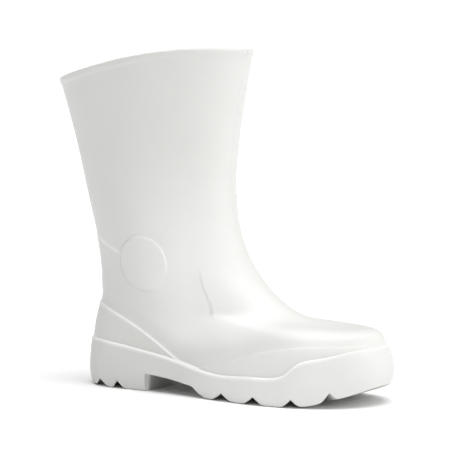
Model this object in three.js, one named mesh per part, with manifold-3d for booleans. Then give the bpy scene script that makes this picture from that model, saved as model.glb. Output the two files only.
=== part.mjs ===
// A white moulded work boot for the right foot: an upper moulded whole with its shaft, a lugged
// outsole whose cup closes the upper underneath, and an insole lying in it.
// Millimetres. X runs from the heel to the toe, Y to the inner side of the foot, Z up.
import * as THREE from 'three';
import { mergeVertices } from 'three/addons/utils/BufferGeometryUtils.js';
import Module from 'manifold-3d';

// Foot sizes
const SOLE_LENGTH = 300;
const BALL_WIDTH = 110;
const INSTEP_RISE = 87;
const HEEL_SEAT = 26;
const BALL_SEAT = 12;
const TOE_SEAT = 24;
const TOE_SWING = 9;

// Shaft sizes
const SHAFT_HEIGHT = 303;
const COLLAR_DROP = 26;
const COLLAR_ARCH = 5.5;
const COLLAR_DEPTH = 195.5;
const COLLAR_WIDTH = 116;
const ANKLE_DEPTH = 146.5;
const ANKLE_WIDTH = 92;
const ANKLE_INSET = 9;
const SHAFT_LEAN = 41.5;

// Wall, its steps, and the clearance between pieces
const WALL = 2.5;
const LAYER_STEP = 0.7;
const BAND_STEP = 1;
const CUFF_STEP = 0.8;
const CUFF_HEIGHT = 6;
const DISC_RADIUS = 24.5;
const SADDLE_STEP = 1;
const SADDLE_REACH = 42;
const SADDLE_SPREAD = 30;
const INSOLE_THICKNESS = 3.5;
const GAP = 0.3;

// Outsole sizes
const LEDGE_WIDTH = 4.5;
const LEDGE_HEIGHT = 43;
const LIP = 0.8;
const SHOULDER_RISE = 0.9;
const BEAD_HEIGHT = 2;
const BEAD_STEP = 0.6;
const TOE_BUMPER = 2.4;
const WALL_BULGE = 0.9;
const WALL_TUCK = 2.6;
const TOE_SPRING = 19;
const SPRING_LENGTH = 65;
const HEEL_LENGTH = 82;
const HEEL_BEVEL = 2;
const HEEL_BEVEL_LENGTH = 12;
const BREAST_HEIGHT = 16;
const ARCH_LENGTH = 69;

// Tread sizes: grooves are spaced from the first lug of ball and heel, up to the last lug
const GROOVE_DEPTH = 7.2;
const GROOVE_ANGLE = 45;
const FORE_GROOVE_WIDTH = 13;
const FORE_PITCH = 33;
const BALL_LUG = 21;
const TOE_LUG = 25;
const HEEL_GROOVE_WIDTH = 10;
const HEEL_PITCH = 20;
const HEEL_LUG = 33;
const BREAST_LUG = 25;

// Curves: how full the rounded ends of each section are, how the toe's spring rises, and how the
// sole's side bends in under its lip
const ROUNDING = 2.4;
const SPRING_CURVE = 1.6;
const LEAN_CURVE = 4;

// Stations along the sole, as shares of its length: where the middle line starts to swing, where
// the upper narrows to the vamp, where the toe's bumper grows, and how far the heel's back reaches
const SWING_STATION = 0.4;
const VAMP_START = 0.17;
const VAMP_END = 0.45;
const TOE_START = 0.8;
const TOE_END = 0.97;
const HEEL_REACH = 0.15;

// Fineness of the faceted surfaces and lines
const COLUMNS = 56;
const ROWS = 24;
const INNER_ROWS = 16;
const LAYER_PIECES = 18;
const BAND_PIECES = 36;
const DISC_PIECES = 14;

// How far up the boot, from the seat to the collar, the layer's and the cup's forms are made
const LAYER_REACH = 0.85;
const CUP_REACH = 0.42;

// Share of the cuff's height over which it thickens
const CUFF_SLOPE = 0.15;

// Half widths of the foot along the sole, as shares of the ball width
const PLAN = [
  { station: 0.0, outer: 0.31, inner: 0.31 },
  { station: 0.14, outer: 0.328, inner: 0.328 },
  { station: 0.28, outer: 0.33, inner: 0.318 },
  { station: 0.42, outer: 0.365, inner: 0.3 },
  { station: 0.56, outer: 0.43, inner: 0.365 },
  { station: 0.68, outer: 0.47, inner: 0.44 },
  { station: 0.78, outer: 0.462, inner: 0.462 },
  { station: 0.9, outer: 0.43, inner: 0.44 },
  { station: 1.0, outer: 0.4, inner: 0.41 },
];

// Height of the seat under the foot: shares of the heel's and the toe's rise over the ball
const SEAT = [
  { station: 0.0, heel: 1.0, toe: 0.0 },
  { station: 0.25, heel: 0.857, toe: 0.0 },
  { station: 0.45, heel: 0.286, toe: 0.0 },
  { station: 0.62, heel: 0.0, toe: 0.0 },
  { station: 0.75, heel: 0.0, toe: 0.04 },
  { station: 0.88, heel: 0.0, toe: 0.333 },
  { station: 1.0, heel: 0.0, toe: 1.0 },
];

// Sections of the foot, from the seat to the instep. back and front: shares of the sole's length.
// heel and toe: rises over the seat at either end, shares of the instep's rise. follow: how far the
// section keeps to the seat's curve. girth: share of the plan. vamp: how much of it the vamp loses.
// shaft: 0 is the foot's plan, 1 the leg's oval. oval: half width of that oval, share of the ankle's
// width. backRound and frontRound: length of the rounded ends, shares of the section's own length.
const FOOT = [
  { back: 0.024, front: 0.969, heel: 0.0, toe: 0.0, follow: 1.0, girth: 0.97, vamp: 0.0,
    shaft: 0.0, oval: 0.39, backRound: 0.146, frontRound: 0.216 },
  { back: 0.0203, front: 0.974, heel: 0.161, toe: 0.207, follow: 0.6, girth: 0.995, vamp: 0.0,
    shaft: 0.0, oval: 0.39, backRound: 0.146, frontRound: 0.222 },
  { back: 0.0255, front: 0.966, heel: 0.345, toe: 0.435, follow: 0.3, girth: 0.985, vamp: 0.05,
    shaft: 0.05, oval: 0.4, backRound: 0.158, frontRound: 0.25 },
  { back: 0.0365, front: 0.897, heel: 0.506, toe: 0.545, follow: 0.1, girth: 0.965, vamp: 0.15,
    shaft: 0.1, oval: 0.41, backRound: 0.187, frontRound: 0.38 },
  { back: 0.0445, front: 0.782, heel: 0.644, toe: 0.615, follow: 0.0, girth: 0.94, vamp: 0.22,
    shaft: 0.2, oval: 0.42, backRound: 0.232, frontRound: 0.54 },
  { back: 0.0445, front: 0.68, heel: 0.793, toe: 0.75, follow: 0.0, girth: 0.915, vamp: 0.2,
    shaft: 0.38, oval: 0.44, backRound: 0.293, frontRound: 0.6 },
  { back: 0.0415, front: 0.587, heel: 0.989, toe: 1.005, follow: 0.0, girth: 0.895, vamp: 0.1,
    shaft: 0.6, oval: 0.475, backRound: 0.378, frontRound: 0.62 },
];

// Sections of the shaft, from the ankle to the collar. lean: share of the shaft's lean. depth and
// spread: how far from the ankle's depth and width to the collar's. back and front: shares of the
// rise from the instep to the collar at either end. arch: share of the collar's arch.
const SHAFT = [
  { lean: 0.0, depth: 0.0, back: 0.202, front: 0.163, spread: 0.0, shaft: 0.85, girth: 0.88,
    arch: 0.0, backRound: 0.51, frontRound: 0.714 },
  { lean: 0.217, depth: 0.0, back: 0.405, front: 0.389, spread: 0.333, shaft: 1.0, girth: 0.86,
    arch: 0.0, backRound: 0.612, frontRound: 0.748 },
  { lean: 0.506, depth: 0.34, back: 0.647, front: 0.67, spread: 0.667, shaft: 1.0, girth: 0.86,
    arch: 0.42, backRound: 0.673, frontRound: 0.703 },
  { lean: 1.0, depth: 1.0, back: 1.0, front: 1.0, spread: 1.0, shaft: 1.0, girth: 0.86,
    arch: 1.0, backRound: 0.639, frontRound: 0.639 },
];

// Top line of the thicker layer that wraps the foot: a vee that dips to the ankle disc.
// along: share of the ankle's depth, from the ankle's back. up: share of the instep's rise, from
// the ball's seat.
const LAYER_LINE = [
  { along: -0.4, up: 1.69 },
  { along: -0.03, up: 1.48 },
  { along: 0.18, up: 1.36 },
  { along: 0.36, up: 1.24 },
  { along: 0.49, up: 1.17 },
  { along: 0.61, up: 1.38 },
  { along: 0.73, up: 1.7 },
  { along: 0.81, up: 1.79 },
  { along: 0.94, up: 1.885 },
  { along: 1.1, up: 1.9 },
];
const DISC = { along: 0.488, up: 1.172 };

// The saddle over the instep: its rear edge, from the top down, and its heart, in the same shares.
const SADDLE_EDGE = [
  { along: 0.86, up: 1.25 },
  { along: 0.866, up: 1.12 },
  { along: 0.885, up: 0.98 },
  { along: 0.92, up: 0.86 },
  { along: 0.945, up: 0.76 },
  { along: 0.96, up: 0.6 },
];
const SADDLE = { along: 0.875, up: 0.93 };

// Top line of the counter round the heel and of the rand round the toe. They dip under the ledge
// between heel and ball. station: share of the sole's length. up: share of the ledge's height.
const BAND_LINE = [
  { station: -0.1, up: 1.81 },
  { station: 0.03, up: 1.78 },
  { station: 0.1, up: 1.7 },
  { station: 0.18, up: 1.5 },
  { station: 0.24, up: 1.3 },
  { station: 0.3, up: 1.07 },
  { station: 0.37, up: 0.79 },
  { station: 0.42, up: 0.61 },
  { station: 0.45, up: 0.54 },
  { station: 0.48, up: 0.62 },
  { station: 0.59, up: 0.81 },
  { station: 0.68, up: 1.02 },
  { station: 0.76, up: 1.13 },
  { station: 0.86, up: 1.2 },
  { station: 1.1, up: 1.21 },
];

// The ledge, where the outsole's side meets the upper, as shares of its height at the heel
const LEDGE_LINE = [
  { station: 0.0, up: 1.0 },
  { station: 0.09, up: 0.98 },
  { station: 0.25, up: 0.84 },
  { station: 0.39, up: 0.685 },
  { station: 0.49, up: 0.545 },
  { station: 0.585, up: 0.505 },
  { station: 0.67, up: 0.535 },
  { station: 0.745, up: 0.56 },
  { station: 0.775, up: 0.64 },
  { station: 0.81, up: 0.84 },
  { station: 0.84, up: 0.92 },
  { station: 0.89, up: 0.995 },
  { station: 0.967, up: 1.14 },
  { station: 1.0, up: 1.17 },
];

// Underside of the arch. along: share of its length, from the heel's breast. up: share of the
// breast's height.
const ARCH = [
  { along: 0.02, up: 1.0 },
  { along: 0.2, up: 0.93 },
  { along: 0.4, up: 0.85 },
  { along: 0.6, up: 0.72 },
  { along: 0.79, up: 0.59 },
  { along: 0.89, up: 0.26 },
  { along: 1.0, up: 0.0 },
];

// Side of the outsole, from the ground up. up: share of its height. below: heights of the bead
// under the ledge. tuck, bulge and bead: shares of those sizes.
const SIDE = [
  { up: 0.0, below: 0.0, tuck: -1.0, bulge: 0.0, bead: 0.0 },
  { up: 0.12, below: 0.0, tuck: -0.35, bulge: 0.4, bead: 0.0 },
  { up: 0.35, below: 0.0, tuck: 0.0, bulge: 1.0, bead: 0.0 },
  { up: 0.7, below: 0.0, tuck: 0.0, bulge: 0.6, bead: 0.0 },
  { up: 0.86, below: 0.0, tuck: 0.0, bulge: 0.25, bead: 0.0 },
  { up: 1.0, below: 1.4, tuck: 0.0, bulge: 0.0, bead: 0.0 },
  { up: 1.0, below: 0.9, tuck: 0.0, bulge: 0.0, bead: 1.0 },
  { up: 1.0, below: 0.25, tuck: 0.0, bulge: 0.0, bead: 1.0 },
  { up: 1.0, below: 0.0, tuck: 0.0, bulge: 0.0, bead: 0.0 },
];

// Shoulder over the ledge. inward: widths of the ledge. up: share of the shoulder's rise.
const SHOULDER = [
  { inward: 0.9, up: 0.55 },
  { inward: 3, up: 1 },
];

// Stations of extra columns, where the ledge climbs to the toe
const CLIMB = [0.752, 0.775, 0.797, 0.82, 0.845];

const RUBBER = { color: 0xf1f0ec, roughness: 0.32, metalness: 0 };
const SOLE_RUBBER = { color: 0xe7e6e2, roughness: 0.38, metalness: 0 };
const LINER = { color: 0xdedcd4, roughness: 0.9, metalness: 0 };

const wasm = await Module();
wasm.setup();

// A natural cubic spline through the values at the knots, as a function.
function spline(knots, values) {
  const last = knots.length - 1;
  const bend = new Array(last + 1).fill(0);
  const carry = new Array(last + 1).fill(0);
  for (let i = 1; i < last; i += 1) {
    const before = knots[i] - knots[i - 1];
    const after = knots[i + 1] - knots[i];
    const turn = (values[i + 1] - values[i]) / after - (values[i] - values[i - 1]) / before;
    const pivot = 2 * (before + after) - before * carry[i - 1];
    carry[i] = after / pivot;
    bend[i] = (6 * turn - before * bend[i - 1]) / pivot;
  }
  for (let i = last - 1; i > 0; i -= 1) {
    bend[i] -= carry[i] * bend[i + 1];
  }
  return (at) => {
    const x = THREE.MathUtils.clamp(at, knots[0], knots[last]);
    let i = 0;
    while (i < last - 1 && x >= knots[i + 1]) {
      i += 1;
    }
    const step = knots[i + 1] - knots[i];
    const a = (knots[i + 1] - x) / step;
    const b = 1 - a;
    const curve = (a ** 3 - a) * bend[i] + (b ** 3 - b) * bend[i + 1];
    return a * values[i] + b * values[i + 1] + (curve * step * step) / 6;
  };
}

// A spline for one column of a table against another.
function column(rows, knot, value) {
  return spline(rows.map((row) => row[knot]), rows.map((row) => row[value]));
}

const outerPlan = column(PLAN, 'station', 'outer');
const innerPlan = column(PLAN, 'station', 'inner');
const heelSeat = column(SEAT, 'station', 'heel');
const toeSeat = column(SEAT, 'station', 'toe');
const ledgeShare = column(LEDGE_LINE, 'station', 'up');

// Height of the seat over the ground.
function seatHeight(x) {
  const station = x / SOLE_LENGTH;
  const heel = heelSeat(station) * (HEEL_SEAT - BALL_SEAT);
  return BALL_SEAT + heel + toeSeat(station) * (TOE_SEAT - BALL_SEAT);
}

// Height of the ledge over the ground.
function ledgeHeight(x) {
  return ledgeShare(x / SOLE_LENGTH) * LEDGE_HEIGHT;
}

// Height of the sole's ground face: flat, with a bevel at the heel and the toe's spring.
function groundHeight(x) {
  const bevel = Math.max(0, 1 - x / HEEL_BEVEL_LENGTH);
  const spring = Math.max(0, 1 - (SOLE_LENGTH - x) / SPRING_LENGTH);
  return HEEL_BEVEL * bevel ** 2 + TOE_SPRING * spring ** SPRING_CURVE;
}

// The middle line in plan, which swings to the inner side towards the toe.
function middle(x) {
  const share = (x / SOLE_LENGTH - SWING_STATION) / (1 - SWING_STATION);
  return TOE_SWING * Math.max(0, share) ** 2;
}

const INSTEP_TOP = BALL_SEAT + INSTEP_RISE;

// The rows of both tables, as real sizes.
function sections() {
  const foot = FOOT.map((row) => {
    const back = row.back * SOLE_LENGTH;
    const front = row.front * SOLE_LENGTH;
    return {
      ...row,
      back,
      front,
      backTop: seatHeight(back) + row.heel * INSTEP_RISE,
      frontTop: seatHeight(front) + row.toe * INSTEP_RISE,
      half: row.oval * ANKLE_WIDTH,
      arch: 0,
    };
  });
  const shaft = SHAFT.map((row) => {
    const back = ANKLE_INSET - row.lean * SHAFT_LEAN;
    return {
      ...row,
      back,
      front: back + ANKLE_DEPTH + row.depth * (COLLAR_DEPTH - ANKLE_DEPTH),
      backTop: INSTEP_TOP + row.back * (SHAFT_HEIGHT - COLLAR_DROP - INSTEP_TOP),
      frontTop: INSTEP_TOP + row.front * (SHAFT_HEIGHT - INSTEP_TOP),
      half: (ANKLE_WIDTH + row.spread * (COLLAR_WIDTH - ANKLE_WIDTH)) / 2,
      arch: row.arch * COLLAR_ARCH,
      follow: 0,
      vamp: 0,
    };
  });
  return [...foot, ...shaft];
}

// Where each section lies between the seat, 0, and the collar, 1: by the root of the distance.
function sectionKnots(rows) {
  const knots = [0];
  for (let i = 1; i < rows.length; i += 1) {
    const a = rows[i - 1];
    const b = rows[i];
    const back = Math.hypot(b.back - a.back, b.backTop - a.backTop);
    const front = Math.hypot(b.front - a.front, b.frontTop - a.frontTop);
    knots.push(knots[i - 1] + Math.sqrt((back + front) / 2));
  }
  const whole = knots[rows.length - 1];
  return knots.map((knot) => knot / whole);
}

const SECTIONS = sections();
const KNOTS = sectionKnots(SECTIONS);
const LEDGE_KNOT = KNOTS[1];
const profile = {};
for (const name of Object.keys(SECTIONS[0])) {
  profile[name] = spline(KNOTS, SECTIONS.map((row) => row[name]));
}

// How far a section has opened at a share of its length: 0 at its ends, round towards the middle.
function opening(share, backRound, frontRound) {
  const back = Math.max(0, 1 - share / backRound);
  const front = Math.max(0, 1 - (1 - share) / frontRound);
  return Math.sqrt(Math.max(0, (1 - back ** ROUNDING) * (1 - front ** ROUNDING)));
}

// The collar's arch at a share of its length: 1 at two thirds of the way to the front.
function archShare(share) {
  return 6.75 * share ** 2 * (1 - share);
}

// A point of the upper's surface. rise runs from the seat, 0, to the collar, 1. turn runs round
// from the toe, 0, by the outer side to the heel, pi, and back by the inner side.
function surface(rise, turn) {
  const at = {};
  for (const name of Object.keys(profile)) {
    at[name] = profile[name](rise);
  }
  const share = (1 + Math.cos(turn)) / 2;
  const x = at.back + (at.front - at.back) * share;
  const isOuter = Math.sin(turn) >= 0;
  const station = x / SOLE_LENGTH;
  const girth = at.girth - at.vamp * THREE.MathUtils.smoothstep(station, VAMP_START, VAMP_END);
  const plan = (isOuter ? outerPlan : innerPlan)(station) * BALL_WIDTH * girth;
  const full = opening(0.5, at.backRound, at.frontRound);
  const open = opening(share, at.backRound, at.frontRound) / full;
  const half = (plan * (1 - at.shaft) + at.half * at.shaft) * open;
  const backSeat = seatHeight(at.back);
  const straight = backSeat + (seatHeight(at.front) - backSeat) * share;
  const slope = at.backTop + (at.frontTop - at.backTop) * share;
  const z = slope + at.follow * (seatHeight(x) - straight) + at.arch * archShare(share);
  return new THREE.Vector3(x, middle(x) + (isOuter ? -half : half), z);
}

// The surface's outward normal, level at the seat.
function normal(rise, turn) {
  const step = 0.001;
  const round = surface(rise, turn + step).sub(surface(rise, turn - step));
  const above = Math.min(1, rise + step);
  const below = Math.max(0, rise - step);
  const up = surface(above, turn).sub(surface(below, turn));
  const out = up.cross(round);
  out.z *= Math.min(1, rise / LEDGE_KNOT);
  return out.normalize();
}

// Turns of evenly spaced columns.
const TURNS = Array.from({ length: COLUMNS }, (_, i) => (i / COLUMNS) * 2 * Math.PI);

// A ring of the upper's surface, moved out by an offset.
function skinRing(rise, offset) {
  return TURNS.map((turn) => surface(rise, turn).addScaledVector(normal(rise, turn), offset));
}

// Evenly spaced rises between two.
function rises(from, to, count) {
  return Array.from({ length: count + 1 }, (_, i) => from + ((to - from) * i) / count);
}

// A copy of a ring, moved up.
function raised(ring, height) {
  return ring.map((point) => new THREE.Vector3(point.x, point.y, point.z + height));
}

// A solid from vertices and triangles, with its faces turned out.
function solid(points, faces) {
  let volume = 0;
  for (const [a, b, c] of faces) {
    volume += points[a].dot(points[b].clone().cross(points[c]));
  }
  const vertProperties = new Float32Array(points.flatMap((point) => point.toArray()));
  const turned = volume < 0 ? faces.map(([a, b, c]) => [a, c, b]) : faces;
  const triVerts = new Uint32Array(turned.flat());
  return new wasm.Manifold(new wasm.Mesh({ numProp: 3, vertProperties, triVerts }));
}

// A closed body through rings of equal count. Each end is closed straight across, side to side.
function loft(rings) {
  const count = rings[0].length;
  const faces = [];
  for (let row = 0; row < rings.length - 1; row += 1) {
    for (let i = 0; i < count; i += 1) {
      const next = (i + 1) % count;
      const a = row * count + i;
      const b = row * count + next;
      const c = (row + 1) * count + next;
      const d = (row + 1) * count + i;
      faces.push([a, b, c], [a, c, d]);
    }
  }
  for (const [start, isTop] of [[0, false], [(rings.length - 1) * count, true]]) {
    for (let i = 0; i < count / 2; i += 1) {
      const a = start + i;
      const b = start + i + 1;
      const c = start + count - i - 1;
      const d = start + ((count - i) % count);
      const strip = [[a, c, b], [a, d, c]].filter((face) => new Set(face).size === 3);
      faces.push(...(isTop ? strip.map(([p, q, r]) => [p, r, q]) : strip));
    }
  }
  return solid(rings.flat(), faces);
}

// A closed geometry as a solid.
function solidOf(geometry) {
  geometry.deleteAttribute('normal');
  geometry.deleteAttribute('uv');
  const merged = mergeVertices(geometry);
  const vertProperties = new Float32Array(merged.attributes.position.array);
  const triVerts = new Uint32Array(merged.index.array);
  return new wasm.Manifold(new wasm.Mesh({ numProp: 3, vertProperties, triVerts }));
}

// A shape drawn in the side view, X and Z, as a prism right through the boot.
function sidePrism(shape, segments) {
  const depth = 2 * BALL_WIDTH;
  const geometry = new THREE.ExtrudeGeometry(shape, {
    depth,
    bevelEnabled: false,
    curveSegments: segments,
  });
  geometry.rotateX(Math.PI / 2);
  geometry.translate(0, depth / 2, 0);
  return solidOf(geometry);
}

// Everything under a smooth line of the side view, down to below the ground. The line runs on
// level past its ends.
function underLine(points, pieces) {
  const line = new THREE.SplineCurve(points).getPoints(pieces);
  const back = -SOLE_LENGTH;
  const front = 2 * SOLE_LENGTH;
  const under = -SHAFT_HEIGHT / 4;
  const corners = [
    new THREE.Vector2(back, under),
    new THREE.Vector2(back, line[0].y),
    ...line,
    new THREE.Vector2(front, line[pieces].y),
    new THREE.Vector2(front, under),
  ];
  return sidePrism(new THREE.Shape(corners), 1);
}

// A point of the ankle's side view, from its shares.
function anklePoint({ along, up }) {
  return new THREE.Vector2(ANKLE_INSET + along * ANKLE_DEPTH, BALL_SEAT + up * INSTEP_RISE);
}

// The rise where the cuff's lower edge lies, from the cuff's height.
function cuffRise() {
  const step = 0.02;
  const side = Math.PI / 2;
  const run = surface(1, side).distanceTo(surface(1 - step, side));
  return 1 - (CUFF_HEIGHT * step) / run;
}

// The saddle over the instep: a swell of the layer that starts at a crisp rear edge and fades
// forward, upward and downward. Footed on rings at the given rises.
function saddle(footRises) {
  const edge = SADDLE_EDGE.map(anklePoint);
  const heart = anklePoint(SADDLE);
  const rings = footRises.map((rise) => TURNS.map((turn) => {
    const point = surface(rise, turn);
    const along = (point.x - heart.x) / SADDLE_REACH;
    const up = (point.z - heart.y) / SADDLE_SPREAD;
    const swell = SADDLE_STEP * (1 - along ** 2 - up ** 2);
    return point.addScaledVector(normal(rise, turn), LAYER_STEP + Math.max(0, swell));
  }));
  const front = 2 * SOLE_LENGTH;
  const corners = [...edge, new THREE.Vector2(front, edge.at(-1).y), new THREE.Vector2(front, edge[0].y)];
  return loft(rings).intersect(sidePrism(new THREE.Shape(corners), 1));
}

// The boot's filled outer form with its steps: the cuff, the layer with its disc, and the band
// of counter and rand.
function outerForm() {
  const cuff = cuffRise();
  const body = rises(0, cuff, ROWS).map((rise) => skinRing(rise, 0));
  body.push(skinRing(cuff + (1 - cuff) * CUFF_SLOPE, CUFF_STEP), skinRing(1, CUFF_STEP));
  const footRises = rises(0, cuff, ROWS).filter((rise) => rise < LAYER_REACH);
  const layer = loft(footRises.map((rise) => skinRing(rise, LAYER_STEP)));
  const band = loft(footRises.map((rise) => skinRing(rise, LAYER_STEP + BAND_STEP)));
  const bandPoints = BAND_LINE.map(
    ({ station, up }) => new THREE.Vector2(station * SOLE_LENGTH, up * LEDGE_HEIGHT),
  );
  const disc = anklePoint(DISC);
  const circle = new THREE.Shape().absarc(disc.x, disc.y, DISC_RADIUS, 0, 2 * Math.PI);
  const bandZone = underLine(bandPoints, BAND_PIECES).add(sidePrism(circle, DISC_PIECES));
  return loft(body)
    .add(layer.intersect(underLine(LAYER_LINE.map(anklePoint), LAYER_PIECES)))
    .add(band.intersect(bandZone))
    .add(saddle(footRises));
}

// The upper: the outer form, hollow to its wall, open at the collar and underneath.
function makeUpper() {
  const inside = rises(0, 1, INNER_ROWS).map((rise) => skinRing(rise, -WALL));
  const lowest = raised(inside[0], -HEEL_SEAT);
  const highest = raised(inside[INNER_ROWS], HEEL_SEAT);
  return outerForm().subtract(loft([lowest, ...inside, highest]));
}

// The space that the upper takes in the outsole: its band with the gap, down to the seat.
function cupSpace() {
  const cuff = cuffRise();
  const lower = rises(0, cuff, ROWS).filter((rise) => rise < CUP_REACH);
  const rings = lower.map((rise) => skinRing(rise, LAYER_STEP + BAND_STEP + GAP));
  rings[0] = raised(rings[0], -GAP);
  return loft(rings);
}

// Turns of the outsole's columns: the even ones and the extra ones of the climb.
function soleTurns() {
  const back = profile.back(LEDGE_KNOT);
  const length = profile.front(LEDGE_KNOT) - back;
  const extra = CLIMB.map((station) => Math.acos((2 * (station * SOLE_LENGTH - back)) / length - 1));
  const outerSide = [...TURNS.slice(1, COLUMNS / 2), ...extra];
  outerSide.sort((a, b) => a - b);
  const innerSide = outerSide.map((turn) => 2 * Math.PI - turn).reverse();
  return [0, ...outerSide, Math.PI, ...innerSide];
}

// A point of the outsole's outline in plan, at a distance outside the upper's ledge line.
function outline(turn, offset) {
  const step = 0.001;
  const along = surface(LEDGE_KNOT, turn + step).sub(surface(LEDGE_KNOT, turn - step));
  const out = new THREE.Vector3(along.y, -along.x, 0).normalize();
  return surface(LEDGE_KNOT, turn).addScaledVector(out, -offset);
}

// How far along a point lies in the toe's bumper: 0 at the ball, 1 at the tip.
function toeShare(x) {
  return THREE.MathUtils.smoothstep(x / SOLE_LENGTH, TOE_START, TOE_END);
}

// How far back a point lies in the heel: 1 at its back.
function heelShare(x) {
  return 1 - THREE.MathUtils.smoothstep(x / SOLE_LENGTH, 0, HEEL_REACH);
}

// How far the ledge stands outside the upper: full along the sides, a lip round heel and toe.
function ledgeWidth(x) {
  const lip = LAYER_STEP + BAND_STEP + GAP + LIP;
  return THREE.MathUtils.lerp(LEDGE_WIDTH, lip, Math.max(toeShare(x), heelShare(x)));
}

// The outsole's solid block: its bulging side with the bead, which leans in to the lip round heel
// and toe, and the shoulder over the ledge.
function soleBlock() {
  const turns = soleTurns();
  const rings = SIDE.map((row) => turns.map((turn) => {
    const x = outline(turn, LEDGE_WIDTH).x;
    const ground = groundHeight(x);
    const foot = LEDGE_WIDTH + TOE_BUMPER * toeShare(x);
    const lean = (foot - ledgeWidth(x)) * row.up ** LEAN_CURVE;
    const out = row.tuck * WALL_TUCK + row.bulge * WALL_BULGE + row.bead * BEAD_STEP;
    const point = outline(turn, foot - lean + out);
    point.z = ground + row.up * (ledgeHeight(x) - ground) - row.below * BEAD_HEIGHT;
    return point;
  }));
  for (const row of SHOULDER) {
    rings.push(turns.map((turn) => {
      const x = outline(turn, LEDGE_WIDTH).x;
      const point = outline(turn, (1 - row.inward) * ledgeWidth(x));
      point.z = ledgeHeight(x) + row.up * SHOULDER_RISE;
      return point;
    }));
  }
  return loft(rings);
}

// The space under the arch, between the heel's breast and the ball's first lug.
function archSpace() {
  const points = ARCH.map(
    ({ along, up }) => new THREE.Vector2(HEEL_LENGTH + along * ARCH_LENGTH, up * BREAST_HEIGHT),
  );
  const under = -BREAST_HEIGHT;
  const back = new THREE.Vector2(HEEL_LENGTH, under);
  const front = new THREE.Vector2(HEEL_LENGTH + ARCH_LENGTH, under);
  return sidePrism(new THREE.Shape([back, ...points, front]), 1);
}

// The outsole's half width at x on one side, over the middle line.
function soleHalf(x, isOuter) {
  const back = profile.back(LEDGE_KNOT);
  const length = profile.front(LEDGE_KNOT) - back;
  const turn = Math.acos(THREE.MathUtils.clamp((2 * (x - back)) / length - 1, -1, 1));
  const point = outline(isOuter ? turn : 2 * Math.PI - turn, LEDGE_WIDTH);
  return Math.abs(point.y - middle(x));
}

// One groove of the tread: a vee-shaped channel from the outline at x, inward and heelward.
function groove(x, width, isOuter) {
  const half = soleHalf(x, isOuter);
  const side = isOuter ? -1 : 1;
  const slant = Math.tan(THREE.MathUtils.degToRad(GROOVE_ANGLE));
  const overshoot = 3 * LEDGE_WIDTH;
  const stops = [half + overshoot, half, 0].map((reach) => {
    const along = x + (reach - half) * slant;
    const ground = groundHeight(Math.min(along, x));
    return { x: along, y: middle(along) + side * reach, ground };
  });
  const points = [];
  for (const stop of stops) {
    points.push(new THREE.Vector3(stop.x - width, stop.y, stop.ground - GROOVE_DEPTH));
    points.push(new THREE.Vector3(stop.x + width, stop.y, stop.ground - GROOVE_DEPTH));
    points.push(new THREE.Vector3(stop.x, stop.y, stop.ground + GROOVE_DEPTH));
  }
  const faces = [[0, 2, 1], [6, 7, 8]];
  for (const start of [0, 3]) {
    for (const [a, b] of [[0, 1], [1, 2], [2, 0]]) {
      faces.push([start + a, start + b, start + b + 3], [start + a, start + b + 3, start + a + 3]);
    }
  }
  return solid(points, faces);
}

// The outsole: its block, cut by the cup, the arch and the grooves of heel and forefoot.
function makeOutsole() {
  let sole = soleBlock().subtract(cupSpace()).subtract(archSpace());
  for (const isOuter of [true, false]) {
    const ballStart = HEEL_LENGTH + ARCH_LENGTH + BALL_LUG;
    for (let x = ballStart; x < SOLE_LENGTH - TOE_LUG; x += FORE_PITCH) {
      sole = sole.subtract(groove(x, FORE_GROOVE_WIDTH, isOuter));
    }
    for (let x = HEEL_LUG; x < HEEL_LENGTH - BREAST_LUG; x += HEEL_PITCH) {
      sole = sole.subtract(groove(x, HEEL_GROOVE_WIDTH, isOuter));
    }
  }
  return sole;
}

// The insole: a sheet on the seat, inside the upper's wall.
function makeInsole() {
  const under = skinRing(0, -WALL - GAP);
  return loft([under, raised(under, INSOLE_THICKNESS)]);
}

// A named mesh from a solid.
function meshOf(name, body, finish) {
  const { vertProperties, triVerts } = body.getMesh();
  const geometry = new THREE.BufferGeometry();
  geometry.setAttribute('position', new THREE.BufferAttribute(vertProperties, 3));
  geometry.setIndex(new THREE.BufferAttribute(triVerts, 1));
  geometry.computeVertexNormals();
  const mesh = new THREE.Mesh(geometry, new THREE.MeshStandardMaterial(finish));
  mesh.name = name;
  return mesh;
}

const boot = new THREE.Group();
boot.add(meshOf('upper', makeUpper(), RUBBER));
boot.add(meshOf('outsole', makeOutsole(), SOLE_RUBBER));
boot.add(meshOf('insole', makeInsole(), LINER));

// The origin is on the ground under the middle of the boot's box.
const box = new THREE.Box3().setFromObject(boot);
const centre = box.getCenter(new THREE.Vector3());
boot.position.set(-centre.x, -centre.y, -box.min.z);

export default boot;
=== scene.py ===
"""A white moulded work boot for the right foot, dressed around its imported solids.

Shapes are worked out in millimetres on the boot's own axes, as its solids are: x from the heel to the
toe, y to the inner side of the foot, z up from the ground. in_frame() takes them to the frame's metres.
"""
import math

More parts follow.
